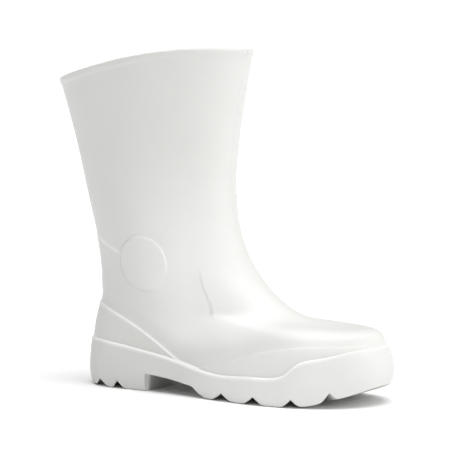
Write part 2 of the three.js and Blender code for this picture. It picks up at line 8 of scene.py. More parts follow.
import bpy
import numpy as np
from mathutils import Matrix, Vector


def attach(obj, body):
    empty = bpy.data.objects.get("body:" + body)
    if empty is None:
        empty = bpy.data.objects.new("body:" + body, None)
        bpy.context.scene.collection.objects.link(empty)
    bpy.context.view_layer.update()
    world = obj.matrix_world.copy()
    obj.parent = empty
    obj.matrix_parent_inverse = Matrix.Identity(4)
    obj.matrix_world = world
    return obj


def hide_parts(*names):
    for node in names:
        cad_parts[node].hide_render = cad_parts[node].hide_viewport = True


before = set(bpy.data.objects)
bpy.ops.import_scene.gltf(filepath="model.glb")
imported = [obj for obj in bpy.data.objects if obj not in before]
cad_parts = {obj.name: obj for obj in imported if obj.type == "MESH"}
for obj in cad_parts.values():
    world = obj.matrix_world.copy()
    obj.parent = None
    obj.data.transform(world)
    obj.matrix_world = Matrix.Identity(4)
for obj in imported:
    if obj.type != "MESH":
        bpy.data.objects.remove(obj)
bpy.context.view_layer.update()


def table(names, rows):
    """The columns of a table, by name."""
    return dict(zip(names.split(), np.array(rows, float).T))


# Foot sizes
SOLE_LENGTH = 300
BALL_WIDTH = 110
INSTEP_RISE = 87
HEEL_SEAT = 26
BALL_SEAT = 12
TOE_SEAT = 24
TOE_SWING = 9

# Stations along the sole: where the middle line starts to swing, where the upper narrows to the
# vamp, where the toe's bumper grows, and how far the heel's back reaches
SWING_STATION = 0.4
VAMP_START = 0.17
VAMP_END = 0.45
TOE_START = 0.8
TOE_END = 0.97
HEEL_REACH = 0.15

# Shaft sizes
SHAFT_HEIGHT = 303
COLLAR_DROP = 26
COLLAR_ARCH = 5.5
COLLAR_DEPTH = 195.5
COLLAR_WIDTH = 116
ANKLE_DEPTH = 146.5
ANKLE_WIDTH = 92
ANKLE_INSET = 9
SHAFT_LEAN = 41.5

# Wall, its steps, and how wide their rounded edges are
WALL = 2.5
LAYER_STEP = 0.7
BAND_STEP = 1.0
CUFF_STEP = 0.8
CUFF_HEIGHT = 6
DISC_RADIUS = 24.5
SADDLE_STEP = 1.0
SADDLE_REACH = 42
SADDLE_SPREAD = 25
STEP_EDGE = 1.5
CREASE_EDGE = 1.3
SOFT_EDGE = 16
ROUNDING = 2.4
GAP = 0.3
INSOLE_THICKNESS = 3.5
INSOLE_CORNER = 1.2

# Outsole sizes
LEDGE_WIDTH = 4.5
LEDGE_HEIGHT = 43
BEAD_HEIGHT = 2.0
BEAD_STEP = 0.18
SHOULDER_RISE = 0.9
SIDE_SHOULDER_RISE = 1.5
LIP = 0.8
TOE_BUMPER = 2.4
WALL_BULGE = 0.9
WALL_TUCK = 2.6
LEAN_CURVE = 4
TOE_SPRING = 19
SPRING_LENGTH = 65
SPRING_CURVE = 1.6
HEEL_LENGTH = 82
HEEL_BEVEL = 2
HEEL_BEVEL_LENGTH = 12
BREAST_HEIGHT = 16
BREAST_CORNER = 6
ARCH_LENGTH = 69
GROOVE_DEPTH = 7.2
FORE_GROOVE_WIDTH = 13
HEEL_GROOVE_WIDTH = 10
FORE_GROOVES = (172, 205.5, 240.5, 269.5)
HEEL_GROOVES = (33, 53)
LUG_ROUNDING = 1.0
LUG_SOFTNESS = 3.2
LUG_DROP = 0.2
LEAST_GROOVE = 0.05
SOLE_EDGE = 1.4

# Half widths of the foot along the sole, as shares of the ball width
PLAN = table("station outer inner", [
    (0.0, 0.31, 0.31),
    (0.14, 0.328, 0.328),
    (0.28, 0.33, 0.318),
    (0.42, 0.365, 0.3),
    (0.56, 0.43, 0.365),
    (0.68, 0.47, 0.44),
    (0.78, 0.462, 0.462),
    (0.9, 0.43, 0.44),
    (1.0, 0.4, 0.41),
])

# Height of the seat: shares of the heel's and the toe's rise over the ball
SEAT = table("station heel toe", [
    (0.0, 1.0, 0.0),
    (0.25, 0.857, 0.0),
    (0.45, 0.286, 0.0),
    (0.62, 0.0, 0.0),
    (0.75, 0.0, 0.04),
    (0.88, 0.0, 0.333),
    (1.0, 0.0, 1.0),
])

# Sections of the foot, from the seat to the instep, as shares of the sole's length and the
# instep's rise. vamp: how much narrower the section is in front of the ankle.
FOOT = table("back front heel toe follow girth vamp shaft oval back_round front_round", [
    (0.024, 0.969, 0.0, 0.0, 1.0, 0.97, 0.0, 0.0, 0.39, 0.146, 0.216),
    (0.0203, 0.974, 0.161, 0.207, 0.6, 0.995, 0.0, 0.0, 0.39, 0.146, 0.222),
    (0.0255, 0.966, 0.345, 0.435, 0.3, 0.985, 0.05, 0.05, 0.4, 0.158, 0.25),
    (0.0365, 0.897, 0.506, 0.545, 0.1, 0.965, 0.15, 0.1, 0.41, 0.187, 0.38),
    (0.0445, 0.782, 0.644, 0.615, 0.0, 0.94, 0.22, 0.2, 0.42, 0.232, 0.54),
    (0.0445, 0.68, 0.793, 0.75, 0.0, 0.915, 0.2, 0.38, 0.44, 0.293, 0.6),
    (0.0415, 0.587, 0.989, 1.005, 0.0, 0.895, 0.1, 0.6, 0.475, 0.378, 0.62),
])

# Sections of the shaft, from the ankle to the collar, as shares of the way to the collar's sizes
SHAFT = table("lean depth back front spread shaft girth arch back_round front_round", [
    (0.0, 0.0, 0.202, 0.163, 0.0, 0.85, 0.88, 0.0, 0.51, 0.714),
    (0.217, 0.0, 0.405, 0.389, 0.333, 1.0, 0.86, 0.0, 0.612, 0.748),
    (0.506, 0.34, 0.647, 0.67, 0.667, 1.0, 0.86, 0.42, 0.673, 0.703),
    (1.0, 1.0, 1.0, 1.0, 1.0, 1.0, 0.86, 1.0, 0.639, 0.639),
])

# Lines of the side view, and the middles of disc and saddle. along and up: shares of the ankle's
# depth and of the instep's rise.
LAYER_LINE = table("along up", [
    (-0.4, 1.69),
    (-0.03, 1.48),
    (0.18, 1.36),
    (0.36, 1.24),
    (0.49, 1.17),
    (0.61, 1.38),
    (0.73, 1.7),
    (0.81, 1.79),
    (0.94, 1.885),
    (1.1, 1.9),
])
SADDLE_EDGE = table("along up", [
    (0.86, 1.25),
    (0.866, 1.12),
    (0.885, 0.98),
    (0.92, 0.86),
    (0.945, 0.76),
    (0.96, 0.6),
])
DISC = (0.488, 1.172)
SADDLE = (0.875, 0.874)
DISC_X = ANKLE_INSET + DISC[0] * ANKLE_DEPTH
DISC_Z = BALL_SEAT + DISC[1] * INSTEP_RISE
SADDLE_X = ANKLE_INSET + SADDLE[0] * ANKLE_DEPTH
SADDLE_Z = BALL_SEAT + SADDLE[1] * INSTEP_RISE

# Top line of counter and rand, and the soft ridge over it. station: share of the sole's length.
# up: share of the ledge's height. flute: depth of the hollow under the ridge, in millimetres.
BAND_LINE = table("station up", [
    (-0.1, 1.81),
    (0.03, 1.78),
    (0.1, 1.7),
    (0.18, 1.5),
    (0.24, 1.3),
    (0.3, 1.07),
    (0.37, 0.79),
    (0.42, 0.61),
    (0.45, 0.54),
    (0.48, 0.62),
    (0.59, 0.81),
    (0.68, 1.02),
    (0.76, 1.13),
    (0.86, 1.2),
    (1.1, 1.21),
])
RIDGE_LINE = table("station up flute ridge", [
    (-0.1, 2.3, 0.0, 0.0),
    (0.05, 2.12, 0.0, 0.4),
    (0.13, 2.0, 0.1, 0.8),
    (0.235, 1.7, 0.2, 1.1),
    (0.33, 1.33, 0.4, 1.2),
    (0.4, 1.17, 0.6, 1.0),
    (0.5, 1.16, 0.8, 0.7),
    (0.63, 1.19, 0.8, 0.4),
    (0.76, 1.24, 0.5, 0.1),
    (0.87, 1.3, 0.3, 0.0),
    (1.1, 1.3, 0.1, 0.0),
])
RIDGE_ABOVE = 9
RIDGE_BELOW = 4.5

# A soft fill over the vamp's side: how thick it is, and its middle and reach up and along the boot
WAIST_FILL = 2.3
WAIST_HEIGHT = 74
WAIST_TALL = 14
WAIST_STATION = 122
WAIST_LENGTH = 36

# Raised lines on the band's top and the disc's ring. From the arch on, the band's line fades out,
# and towards the toe its step widens until it is hardly seen.
LINE_RISE = 0.4
LINE_WIDTH = 1.0
DISC_LINE = 0.5
ARCH_STATION = 135
LINE_RUN = 110
TOE_EDGE = 7
TOE_EDGE_START = 190
TOE_EDGE_RUN = 70

# Where the layer's edge turns soft in front of the disc, and the trough behind the saddle's crease
SOFT_START = 10
SOFT_RUN = 30
TROUGH_DEPTH = 0.35
TROUGH_BEHIND = 1.1
TROUGH_WIDTH = 0.9

# Parting lines: height, the rates of the two waves along z that make their nicks, where they start
# over the foot, and width in radians. The nub at the collar starts and runs by the rise.
FLASH_HEIGHT = 0.28
NICK_RATE = 0.9
WAVER_RATE = 0.37
FLASH_START = 120
FLASH_RUN = 40
FLASH_WIDTH = 0.012
NUB_HEIGHT = 1.0
NUB_START = 0.985
NUB_RUN = 0.01

# Painted light in the upper's tone. The vamp's side is painted pale from its start along the sole, down
# over the ridge and up to where it fades on the shaft, but not at the toe. The forefoot's side has less
# painted light. The band's line is a painted highlight, paler behind the arch than on the rand, and the
# layer's line is a painted highlight behind the disc alone.
VAMP_PAINTED_LIGHT = 0.95
PALE_START = 0.17
PALE_RUN = 0.25
PALE_EDGE = 26
PALE_DROP = 0.75
PALE_TOP = 230
PALE_FADE = 130
PALE_SIDE = 1.3
PALE_TOE = 0.05
PALE_TOE_START = 170
PALE_TOE_RUN = 80
FORE_PAINTED_LIGHT = 0.4
FORE_START = 95
FORE_RUN = 90
RAND_FADE = 0.5
RAND_RUN = 20
LAYER_RUN = 8

# The disc's ring has a painted highlight ahead of its middle and painted shade behind: starts and runs
# in radii
RING_PAINTED_SHADE = 0.14
RING_HIGHLIGHT_START = 0.1
RING_HIGHLIGHT_RUN = 0.5
RING_SHADE_START = -0.2
RING_SHADE_RUN = -0.4

# The ledge, where the outsole's side meets the upper, as shares of its height at the heel
LEDGE_LINE = table("station up", [
    (0.0, 1.0),
    (0.09, 0.98),
    (0.25, 0.84),
    (0.39, 0.685),
    (0.49, 0.545),
    (0.585, 0.505),
    (0.67, 0.535),
    (0.745, 0.56),
    (0.775, 0.64),
    (0.81, 0.84),
    (0.84, 0.92),
    (0.89, 0.995),
    (0.967, 1.14),
    (1.0, 1.17),
])

# Underside of the arch, from the heel's breast to the ball's first lug
ARCH = table("along up", [
    (0.0, 0.0),
    (0.02, 1.0),
    (0.2, 0.93),
    (0.4, 0.85),
    (0.6, 0.72),
    (0.79, 0.59),
    (0.89, 0.26),
    (1.0, 0.0),
])

# Side of the outsole, by the share of its height: how much of the tuck and of the bulge it has
SIDE = table("up tuck bulge", [
    (0.0, -1.0, 0.0),
    (0.05, -0.68, 0.2),
    (0.12, -0.35, 0.4),
    (0.22, -0.1, 0.8),
    (0.35, 0.0, 1.0),
    (0.7, 0.0, 0.6),
    (1.0, 0.0, 0.0),
])

# Section of the bead, out in bead steps and below the ledge in bead heights, and of the shoulder
# over it, inward in ledge widths and up in shoulder rises
BEAD_SECTION = table("out below", [
    (0.0, 1.55),
    (0.1, 1.3),
    (0.65, 1.1),
    (1.0, 0.8),
    (1.05, 0.5),
    (0.85, 0.2),
    (0.4, 0.04),
    (0.0, 0.0),
])
SHOULDER_SECTION = table("inward up", [
    (0.08, 0.04),
    (0.25, 0.24),
    (0.5, 0.55),
    (0.75, 0.88),
    (0.9, 1.0),
    (1.0, 1.0),
])

# Soft swells and hollows of the upper. turn: 0 is the toe, a quarter turn the outer side.
SWELLS = table("rise turn height tall wide", [
    (0.83, 0.55, 0.35, 0.03, 0.22),
    (0.76, 0.78, -0.3, 0.035, 0.2),
    (0.7, 0.35, 0.3, 0.03, 0.25),
    (0.62, 1.15, 0.25, 0.04, 0.2),
    (0.88, 1.9, -0.35, 0.06, 0.3),
    (0.72, 2.2, 0.3, 0.05, 0.3),
    (0.8, 4.2, 0.35, 0.05, 0.3),
    (0.68, 5.3, -0.3, 0.04, 0.3),
    (0.9, 5.0, -0.3, 0.05, 0.35),
])

# From the boot's own axes to the middle of its box, as the solids are shifted
SHIFT = np.array([-133.34003, -0.36343, 0.0])
MILLIMETRE = 0.001
FULL_TURN = 2 * math.pi

# How finely curves are sampled where lengths are measured along them
SPACING_SAMPLES = 20001
RISE_SAMPLES = 700
OUTLINE_SAMPLES = 721


def in_frame(points):
    """Points of the boot's own axes in the frame, in metres."""
    return (points + SHIFT) * MILLIMETRE


def spline(knots, values):
    """A natural cubic spline through the values at the knots, as a function of an array."""
    step = np.diff(knots)
    last = len(knots) - 1
    system = np.eye(last + 1)
    side = np.zeros(last + 1)
    for i in range(1, last):
        system[i, i - 1:i + 2] = step[i - 1], 2 * (step[i - 1] + step[i]), step[i]
        side[i] = 6 * ((values[i + 1] - values[i]) / step[i] - (values[i] - values[i - 1]) / step[i - 1])
    bend = np.linalg.solve(system, side)

    def value(at):
        x = np.clip(at, knots[0], knots[-1])
        i = np.clip(np.searchsorted(knots, x, side="right") - 1, 0, last - 1)
        a = (knots[i + 1] - x) / step[i]
        b = 1 - a
        curve = (a ** 3 - a) * bend[i] + (b ** 3 - b) * bend[i + 1]
        return a * values[i] + b * values[i + 1] + curve * step[i] ** 2 / 6

    return value


def curve_through(x, z, count=400):
    """Points of a uniform Catmull-Rom curve through (x, z)."""
    points = np.stack([x, z], axis=-1)
    last = len(points) - 1
    at = np.linspace(0, last, count)
    i = np.minimum(at.astype(int), last - 1)
    w = (at - i)[:, None]
    before = points[np.maximum(i - 1, 0)]
    a = points[i]
    b = points[i + 1]
    after = points[np.minimum(i + 2, last)]
    leave = (b - before) / 2
    arrive = (after - a) / 2
    cubic = 2 * a - 2 * b + leave + arrive
    square = 3 * b - 3 * a - 2 * leave - arrive
    return cubic * w ** 3 + square * w ** 2 + leave * w + a


def smooth(share):
    """0 below 0, 1 above 1, and 3 s^2 - 2 s^3 between."""
    s = np.clip(share, 0, 1)
    return s * s * (3 - 2 * s)


def step_up(distance, width):
    """A rounded step: 0 far below the edge, 1 far above it."""
    return smooth(distance / width + 0.5)


def ramp(value, start, run):
    """From 0 at the start to 1 after the run, which is negative for a ramp downward."""
    return smooth((value - start) / run)


def bump(distance, width):
    """A Gaussian of height 1."""
    return np.exp(-(distance / width) ** 2)


outer_plan = spline(PLAN["station"], PLAN["outer"])
inner_plan = spline(PLAN["station"], PLAN["inner"])
heel_seat = spline(SEAT["station"], SEAT["heel"])
toe_seat = spline(SEAT["station"], SEAT["toe"])
ledge_share = spline(LEDGE_LINE["station"], LEDGE_LINE["up"])


def seat_height(x):
    """Height of the seat: the ball's, plus the heel's and the toe's rises by their shares."""
    station = x / SOLE_LENGTH
    heel = heel_seat(station) * (HEEL_SEAT - BALL_SEAT)
    return BALL_SEAT + heel + toe_seat(station) * (TOE_SEAT - BALL_SEAT)


def ledge_height(x):
    """Height of the ledge over the ground."""
    return ledge_share(x / SOLE_LENGTH) * LEDGE_HEIGHT


def toe_share(x):
    """How far along a point lies in the toe's bumper: 0 at the ball, 1 at the tip."""
    return smooth((x / SOLE_LENGTH - TOE_START) / (TOE_END - TOE_START))


def ledge_width(x):
    """How far the ledge stands outside the upper: full along the sides, a lip round heel and toe."""
    lip = LAYER_STEP + BAND_STEP + GAP + LIP
    heel_share = smooth(1 - x / (HEEL_REACH * SOLE_LENGTH))
    return LEDGE_WIDTH + (lip - LEDGE_WIDTH) * np.maximum(toe_share(x), heel_share)


def ground_height(x):
    """The sole's ground face: flat, with a squared bevel at the heel and the toe's spring."""
    bevel = np.maximum(0, 1 - x / HEEL_BEVEL_LENGTH)
    spring = np.maximum(0, 1 - (SOLE_LENGTH - x) / SPRING_LENGTH)
    return HEEL_BEVEL * bevel ** 2 + TOE_SPRING * spring ** SPRING_CURVE


def middle(x):
    """The middle line in plan: it swings to the inner side by the square of the way to the toe."""
    share = (x / SOLE_LENGTH - SWING_STATION) / (1 - SWING_STATION)
    return TOE_SWING * np.maximum(0, share) ** 2


def sections():
    """The rows of FOOT and SHAFT as real sizes, column by column."""
    top = BALL_SEAT + INSTEP_RISE
    back = FOOT["back"] * SOLE_LENGTH
    front = FOOT["front"] * SOLE_LENGTH
    shaft_back = ANKLE_INSET - SHAFT["lean"] * SHAFT_LEAN
    shaft_front = shaft_back + ANKLE_DEPTH + SHAFT["depth"] * (COLLAR_DEPTH - ANKLE_DEPTH)
    none = np.zeros(len(SHAFT["lean"]))
    foot = {
        "back": back,
        "front": front,
        "back_top": seat_height(back) + FOOT["heel"] * INSTEP_RISE,
        "front_top": seat_height(front) + FOOT["toe"] * INSTEP_RISE,
        "half": FOOT["oval"] * ANKLE_WIDTH,
        "arch": np.zeros(len(back)),
        "follow": FOOT["follow"],
        "vamp": FOOT["vamp"],
    }
    shaft = {
        "back": shaft_back,
        "front": shaft_front,
        "back_top": top + SHAFT["back"] * (SHAFT_HEIGHT - COLLAR_DROP - top),
        "front_top": top + SHAFT["front"] * (SHAFT_HEIGHT - top),
        "half": (ANKLE_WIDTH + SHAFT["spread"] * (COLLAR_WIDTH - ANKLE_WIDTH)) / 2,
        "arch": SHAFT["arch"] * COLLAR_ARCH,
        "follow": none,
        "vamp": none,
    }
    for name in ("girth", "shaft", "back_round", "front_round"):
        foot[name] = FOOT[name]
        shaft[name] = SHAFT[name]
    return {name: np.concatenate([foot[name], shaft[name]]) for name in foot}


def section_knots(rows):
    """Where each section lies from the seat, 0, to the collar, 1: by the roots of the distances."""
    back = np.hypot(np.diff(rows["back"]), np.diff(rows["back_top"]))
    front = np.hypot(np.diff(rows["front"]), np.diff(rows["front_top"]))
    run = np.concatenate([[0], np.cumsum(np.sqrt((back + front) / 2))])
    return run / run[-1]


# The collar's arch is a cubic, scaled so that its top is the arch's height
ARCH_SCALE = 27 / 4

SECTIONS = sections()
KNOTS = section_knots(SECTIONS)
LEDGE_KNOT = KNOTS[1]
profile = {name: spline(KNOTS, values) for name, values in SECTIONS.items()}


def opening(share, back_round, front_round):
    """How far a section has opened: the root of one minus a power of the way into each round end."""
    back = np.clip(1 - share / back_round, 0, 1)
    front = np.clip(1 - (1 - share) / front_round, 0, 1)
    return np.sqrt(np.maximum(0, (1 - back ** ROUNDING) * (1 - front ** ROUNDING)))


def surface(rise, turn):
    """A point of the upper: the section at the rise, laid round by the turn from toe to heel."""
    rise, turn = np.broadcast_arrays(np.asarray(rise, float), np.asarray(turn, float))
    at = {name: value(rise) for name, value in profile.items()}
    share = (1 + np.cos(turn)) / 2
    x = at["back"] + (at["front"] - at["back"]) * share
    is_outer = np.sin(turn) >= 0
    station = x / SOLE_LENGTH
    girth = at["girth"] - at["vamp"] * ramp(station, VAMP_START, VAMP_END - VAMP_START)
    plan = np.where(is_outer, outer_plan(station), inner_plan(station)) * BALL_WIDTH * girth
    full = opening(0.5, at["back_round"], at["front_round"])
    is_open = opening(share, at["back_round"], at["front_round"]) / full
    half = (plan * (1 - at["shaft"]) + at["half"] * at["shaft"]) * is_open
    back_seat = seat_height(at["back"])
    straight = back_seat + (seat_height(at["front"]) - back_seat) * share
    slope = at["back_top"] + (at["front_top"] - at["back_top"]) * share
    arch = at["arch"] * ARCH_SCALE * share ** 2 * (1 - share)
    z = slope + at["follow"] * (seat_height(x) - straight) + arch
    return np.stack([x, middle(x) + np.where(is_outer, -half, half), z], axis=-1)


def normal(rise, turn):
    """The surface's outward normal, from small steps either way. It is level at the seat."""
    step = 0.001
    rise, turn = np.broadcast_arrays(np.asarray(rise, float), np.asarray(turn, float))
    round_boot = surface(rise, turn + step) - surface(rise, turn - step)
    up = surface(np.minimum(1, rise + step), turn) - surface(np.maximum(0, rise - step), turn)
    out = np.cross(up, round_boot)
    out[..., 2] *= np.minimum(1, rise / LEDGE_KNOT)
    return out / np.linalg.norm(out, axis=-1, keepdims=True)


def ankle_line(line):
    """A line of the side view, from its shares of the ankle, as points."""
    return curve_through(ANKLE_INSET + line["along"] * ANKLE_DEPTH, BALL_SEAT + line["up"] * INSTEP_RISE)


def sole_line(line):
    """A line of the side view, from its shares of the sole, as points."""
    return curve_through(line["station"] * SOLE_LENGTH, line["up"] * LEDGE_HEIGHT)


layer_curve = ankle_line(LAYER_LINE)
saddle_curve = ankle_line(SADDLE_EDGE)
band_curve = sole_line(BAND_LINE)
ridge_curve = sole_line(RIDGE_LINE)


def above(curve, x, z):
    """Distance over a line of the side view: the height over it, times the cosine of its slope."""
    height = np.interp(x, curve[:, 0], curve[:, 1])
    slope = np.gradient(curve[:, 1], curve[:, 0])
    return (z - height) / np.sqrt(1 + np.interp(x, curve[:, 0], slope) ** 2)


def before_saddle(x, z):
    """Distance in front of the saddle's rear edge."""
    order = np.argsort(saddle_curve[:, 1])
    edge = saddle_curve[order]
    slope = np.gradient(edge[:, 0], edge[:, 1])
    ahead = x - np.interp(z, edge[:, 1], edge[:, 0])
    return ahead / np.sqrt(1 + np.interp(z, edge[:, 1], slope) ** 2)


def relief(point, turn):
    """How far the moulded steps stand out of the plain form.

    The layer, the band of counter and rand, the disc and the saddle are rounded steps over the lines of
    the side view, and the highest one counts. Raised lines, a soft ridge and the waist's fill are added
    as Gaussians. A flute, a sine arch between ridge and band, and the crease's trough are taken off.
    """
    x = point[..., 0]
    z = point[..., 2]
    to_band = above(band_curve, x, z)
    from_disc = DISC_RADIUS - np.hypot(x - DISC_X, z - DISC_Z)
    soften = ramp(x, DISC_X + SOFT_START, SOFT_RUN) * (np.sin(turn) >= 0)
    layer = LAYER_STEP * step_up(-above(layer_curve, x, z), STEP_EDGE + SOFT_EDGE * soften)
    band_edge = STEP_EDGE + TOE_EDGE * ramp(x, TOE_EDGE_START, TOE_EDGE_RUN)
    band = (LAYER_STEP + BAND_STEP) * step_up(-to_band, band_edge)
    disc = (LAYER_STEP + BAND_STEP) * step_up(from_disc, STEP_EDGE)
    on_band = bump(to_band, LINE_WIDTH) * (1 - ramp(x, ARCH_STATION, LINE_RUN))
    lines = LINE_RISE * (DISC_LINE * bump(from_disc, LINE_WIDTH) + on_band)
    swell = 1 - ((x - SADDLE_X) / SADDLE_REACH) ** 2 - ((z - SADDLE_Z) / SADDLE_SPREAD) ** 2
    crease = before_saddle(x, z)
    saddle = (LAYER_STEP + SADDLE_STEP * smooth(swell)) * step_up(crease, CREASE_EDGE) * (swell > 0)
    trough = TROUGH_DEPTH * bump(crease + TROUGH_BEHIND, TROUGH_WIDTH) * smooth(2 * swell)
    over_ridge = above(ridge_curve, x, z)
    station = x / SOLE_LENGTH
    height = np.interp(station, RIDGE_LINE["station"], RIDGE_LINE["ridge"])
    depth = np.interp(station, RIDGE_LINE["station"], RIDGE_LINE["flute"])
    ridge = height * bump(over_ridge, np.where(over_ridge > 0, RIDGE_ABOVE, RIDGE_BELOW))
    between = np.clip(to_band / np.maximum(to_band - over_ridge, 1), 0, 1)
    flute = depth * np.sin(math.pi * between) * (to_band > 0)
    waist = WAIST_FILL * bump(z - WAIST_HEIGHT, WAIST_TALL) * bump(x - WAIST_STATION, WAIST_LENGTH)
    return np.maximum.reduce([layer, band, disc, saddle]) + lines + ridge + waist - flute - trough


def fore_side_light(x):
    """The painted light on the forefoot's side: it grows from the arch on and ends at the toe."""
    return FORE_PAINTED_LIGHT * ramp(x, FORE_START, FORE_RUN) * (1 - toe_share(x))


def upper_painted_light(point, turn):
    """Tone of the rubber: a half is plain, over it painted light, and under it a little painted shade.

    The vamp's side and the forefoot's side have painted light, and the raised lines painted highlights,
    by Gaussians.
    """
    x = point[..., 0]
    z = point[..., 2]
    over_ridge = above(ridge_curve, x, z) / PALE_EDGE
    side = smooth(np.abs(np.sin(turn)) / PALE_SIDE)
    side = side + (PALE_TOE - side) * ramp(x, PALE_TOE_START, PALE_TOE_RUN)
    # Painted light on the vamp's side and on the forefoot's side
    vamp = ramp(x / SOLE_LENGTH, PALE_START, PALE_RUN) * smooth(over_ridge + PALE_DROP)
    vamp = VAMP_PAINTED_LIGHT * vamp * ramp(z, PALE_TOP, -PALE_FADE) * side
    fore = fore_side_light(x) * smooth(1 - over_ridge)
    # Painted highlights along the band's line and the layer's line
    band = bump(above(band_curve, x, z), LINE_WIDTH) * (1 - ramp(x, ARCH_STATION, LINE_RUN))
    band = band * (1 - RAND_FADE * step_up(x - ARCH_STATION, RAND_RUN))
    layer = bump(above(layer_curve, x, z), LINE_WIDTH) * step_up(DISC_X - DISC_RADIUS - x, LAYER_RUN)
    # Painted highlight on the disc's ring ahead of its middle, painted shade behind it
    ring = bump(DISC_RADIUS - np.hypot(x - DISC_X, z - DISC_Z), LINE_WIDTH)
    ahead = (x - DISC_X + z - DISC_Z) / (math.sqrt(2) * DISC_RADIUS)
    highlit_ring = ring * ramp(ahead, RING_HIGHLIGHT_START, RING_HIGHLIGHT_RUN)
    shaded_ring = ring * ramp(ahead, RING_SHADE_START, RING_SHADE_RUN)
    pale = np.maximum.reduce([vamp, fore, band, layer, highlit_ring])
    return 0.5 + 0.5 * pale - RING_PAINTED_SHADE * shaded_ring


def flash(rise, turn, z):
    """The parting lines up the front and back of the shaft: thin ridges that waver in height, with a
    nub where the front one ends at the collar."""
    waver = 1 + np.sin(z * NICK_RATE) * np.sin(z * WAVER_RATE + 1)
    height = FLASH_HEIGHT * waver * ramp(z, FLASH_START, FLASH_RUN)
    nub = NUB_HEIGHT * ramp(rise, NUB_START, NUB_RUN)
    from_front = np.abs((turn + math.pi) % FULL_TURN - math.pi)
    from_back = np.abs(turn - math.pi)
    return (height + nub) * bump(from_front, FLASH_WIDTH) + height * bump(from_back, FLASH_WIDTH)


def swells(rise, turn):
    """The soft swells and hollows: a sum of Gaussians on rise and turn."""
    total = np.zeros(np.broadcast(rise, turn).shape)
    for row in zip(*SWELLS.values()):
        at_rise, at_turn, height, tall, wide = row
        total += height * np.exp(-((rise - at_rise) / tall) ** 2 - ((turn - at_turn) / wide) ** 2)
    return total


def spaced(count, windows, span):
    """Values over a span, set closer inside the windows: even steps of a running density."""
    fine = np.linspace(0, span, SPACING_SAMPLES)
    density = np.ones(len(fine))
    for centre, half, extra in windows:
        density += extra * np.exp(-((fine - centre) / half) ** 4)
    run = np.concatenate([[0], np.cumsum((density[1:] + density[:-1]) / 2)])
    return np.interp(np.linspace(0, run[-1], count + 1), run, fine)


# Columns round the upper, closer at the discs, the creases and the parting lines. A window is its
# middle, its half width and its extra density.
SKIN_COLUMNS = 440
half_windows = [(0, 0.03, 2), (1.08, 0.16, 2.2), (1.68, 0.42, 1.1), (math.pi, 0.03, 2)]
other_windows = [(FULL_TURN - centre, half, extra) for centre, half, extra in half_windows[:3]]
skin_turns = spaced(SKIN_COLUMNS, half_windows + other_windows, FULL_TURN)[:-1]

# Rows of the upper's outside between its lines, and their places beside a line, in millimetres.
# DISC_TOP is how far over the layer's line the closer rows reach. INNER_TOP and NEAR_TOP are rises.
HIDDEN_ROWS = 12
FOOT_ROWS = 62
DISC_ROWS = 30
DISC_TOP = 30
SHAFT_ROWS = 44
CUFF_ROWS = 4
CUFF_EDGE = 4
BESIDE = np.array([-1.1, -0.6, -0.3, 0.0, 0.3, 0.6, 1.1])
CUFF_BESIDE = np.array([-1.8, -1.0, -0.4, 0.2, 0.8])
RIM_STEPS = 8
INNER_ROWS = 22
INNER_TOP = 0.994
NEAR_TOP = 0.99
RIM_RADIUS = (WALL + CUFF_STEP) / 2


def crossing(curve, points):
    """For each column, the length up the boot at which it crosses a line of the side view."""
    over = above(curve, points[..., 0], points[..., 2])
    run = column_run(points)
    first = np.argmax(over > 0, axis=0)
    column = np.arange(points.shape[1])
    low = over[first - 1, column]
    share = -low / (over[first, column] - low)
    return run[first - 1, column] + share * (run[first, column] - run[first - 1, column])


def column_run(points):
    """The length up each column of a grid."""
    steps = np.linalg.norm(np.diff(points, axis=0), axis=-1)
    return np.concatenate([np.zeros((1, points.shape[1])), np.cumsum(steps, axis=0)])


def skin_rises():
    """The rises of the outer rows at each column, their lengths up it, and its whole length.

    The rows lie at even lengths between the lines, with a few close beside each line, so that the
    steps stay crisp.
    """
    rise = np.linspace(0, 1, RISE_SAMPLES)
    points = surface(rise[:, None], skin_turns[None, :])
    run = column_run(points)
    whole = run[-1]
    band = crossing(band_curve, points)
    layer = crossing(layer_curve, points)
    cuff = whole - CUFF_HEIGHT
    top = whole - RIM_RADIUS
    stops = []

    def even(start, end, rows):
        for share in np.linspace(0, 1, rows + 1)[:-1]:
            stops.append(start + (end - start) * share)

    even(np.zeros(len(skin_turns)), band + BESIDE[0], HIDDEN_ROWS)
    stops.extend(band + beside for beside in BESIDE[:-1])
    even(band + BESIDE[-1], layer + BESIDE[0], FOOT_ROWS)
    stops.extend(layer + beside for beside in BESIDE[:-1])
    even(layer + BESIDE[-1], layer + DISC_TOP, DISC_ROWS)
    even(layer + DISC_TOP, cuff + CUFF_BESIDE[0], SHAFT_ROWS)
    stops.extend(cuff + beside for beside in CUFF_BESIDE[:-1])
    even(cuff + CUFF_BESIDE[-1], top, CUFF_ROWS)
    stops.append(top)
    lengths = np.array(stops)
    rises = [np.interp(lengths[:, i], run[:, i], rise) for i in range(len(skin_turns))]
    return np.stack(rises, axis=1), lengths, whole


